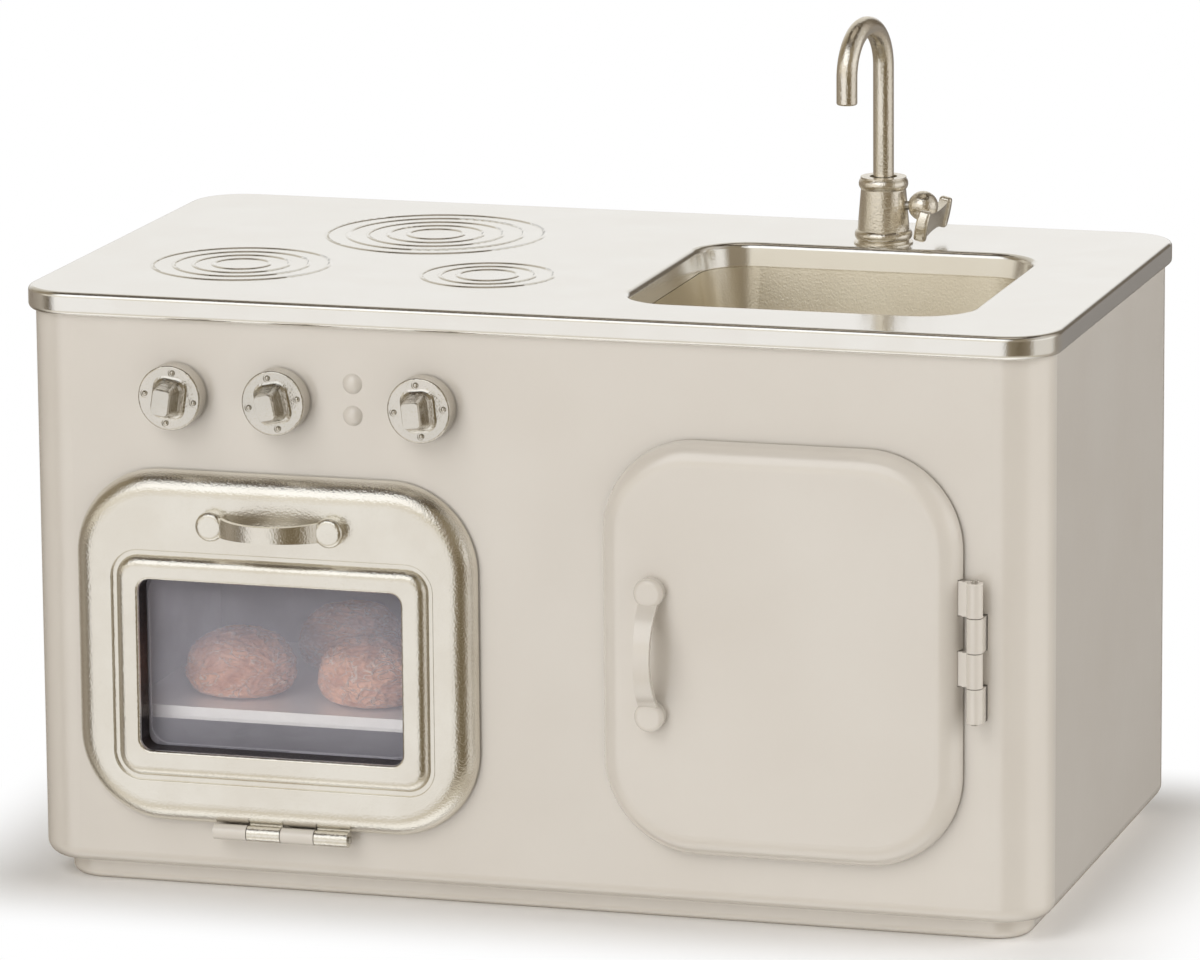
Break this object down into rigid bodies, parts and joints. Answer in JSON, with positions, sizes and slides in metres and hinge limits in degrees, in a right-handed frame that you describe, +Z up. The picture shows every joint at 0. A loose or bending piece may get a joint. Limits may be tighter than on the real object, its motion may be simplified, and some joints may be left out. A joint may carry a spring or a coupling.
{
  "type": "miniature toy kitchen",
  "caption": "Doll-size tin kitchen unit with ring burners, sunken sink, gooseneck tap, turning knobs, drop-down oven door with window and a side-hinged cupboard door.",
  "frame": {"origin": "middle of the flat underside of the plinth pan", "axes": "+Z up, -Y towards the front with the doors and knobs, +X towards the sink side"},
  "size_m": [0.165, 0.1008, 0.1319],
  "materials": {
    "cream_enamel": "semi-gloss baked enamel on tin plate",
    "worktop_lacquer": "gloss champagne lacquer on tin plate",
    "sink_lacquer": "satin champagne metallic lacquer",
    "champagne_lacquer": "satin champagne metallic lacquer with fine flake",
    "plain_steel": "plain drawn steel",
    "shelf_steel": "bright tin plate",
    "oven_grey": "matt grey enamel",
    "smoky_pane": "smoky clear sheet",
    "bread_crust": "painted resin, wrinkled crust",
    "dark_ferrite": "bare ferrite"
  },
  "bodies": {
    "cabinet": {"cabinet_shell": "cream_enamel", "base_pan": "cream_enamel", "back_panel": "cream_enamel", "back_panel_rivets": "cream_enamel", "worktop": "worktop_lacquer", "sink_basin": "sink_lacquer", "oven_liner": "oven_grey", "oven_shelf": "shelf_steel", "bread_roll_left": "bread_crust", "bread_roll_right": "bread_crust", "bread_roll_back": "bread_crust", "oven_catch_magnet": "dark_ferrite", "cupboard_catch_magnet": "dark_ferrite", "oven_hinge_fixed_leaf": "cream_enamel", "oven_hinge_pin": "plain_steel", "cupboard_hinge_fixed_leaf": "cream_enamel", "cupboard_hinge_pin": "plain_steel", "tap_flange": "champagne_lacquer", "tap_body": "champagne_lacquer", "tap_stud": "plain_steel", "tap_nut": "plain_steel"},
    "oven_door": {"oven_door_shell": "champagne_lacquer", "oven_door_liner": "oven_grey", "oven_window": "smoky_pane", "oven_handle": "champagne_lacquer", "oven_handle_rivets": "champagne_lacquer", "oven_hinge_door_leaf": "champagne_lacquer"},
    "cupboard_door": {"cupboard_door_shell": "cream_enamel", "cupboard_door_liner": "cream_enamel", "cupboard_handle": "cream_enamel", "cupboard_handle_rivets": "cream_enamel", "cupboard_hinge_door_leaf": "cream_enamel"},
    "spout": {"tap_spout": "champagne_lacquer"},
    "tap_key": {"tap_lever": "champagne_lacquer", "tap_lever_stem": "plain_steel"},
    "left_knob": {"knob_left": "champagne_lacquer", "knob_left_spindle": "plain_steel", "knob_left_retainer": "plain_steel"},
    "middle_knob": {"knob_middle": "champagne_lacquer", "knob_middle_spindle": "plain_steel", "knob_middle_retainer": "plain_steel"},
    "right_knob": {"knob_right": "champagne_lacquer", "knob_right_spindle": "plain_steel", "knob_right_retainer": "plain_steel"}
  },
  "joints": [
    {"name": "oven_door_hinge", "type": "hinge", "parent": "cabinet", "child": "oven_door", "pos_m": [-0.03935, -0.04745, 0.01061], "axis": [1, 0, 0], "range_deg": [0, 90]},
    {"name": "cupboard_door_hinge", "type": "hinge", "parent": "cabinet", "child": "cupboard_door", "pos_m": [0.07139, -0.04745, 0.0463], "axis": [0, 0, 1], "range_deg": [0, 120]},
    {"name": "left_knob_turn", "type": "hinge", "parent": "cabinet", "child": "left_knob", "pos_m": [-0.0562, -0.0485, 0.0793], "axis": [0, 1, 0], "continuous": true},
    {"name": "middle_knob_turn", "type": "hinge", "parent": "cabinet", "child": "middle_knob", "pos_m": [-0.0393, -0.0485, 0.0793], "axis": [0, 1, 0], "continuous": true},
    {"name": "right_knob_turn", "type": "hinge", "parent": "cabinet", "child": "right_knob", "pos_m": [-0.0158, -0.0485, 0.0793], "axis": [0, 1, 0], "continuous": true},
    {"name": "spout_swivel", "type": "hinge", "parent": "cabinet", "child": "spout", "pos_m": [0.0381, 0.0267, 0.1055], "axis": [0, 0, 1], "continuous": true},
    {"name": "tap_key_turn", "type": "hinge", "parent": "cabinet", "child": "tap_key", "pos_m": [0.0446, 0.0267, 0.1008], "axis": [1, 0, 0], "range_deg": [-10, 10]}
  ]
}
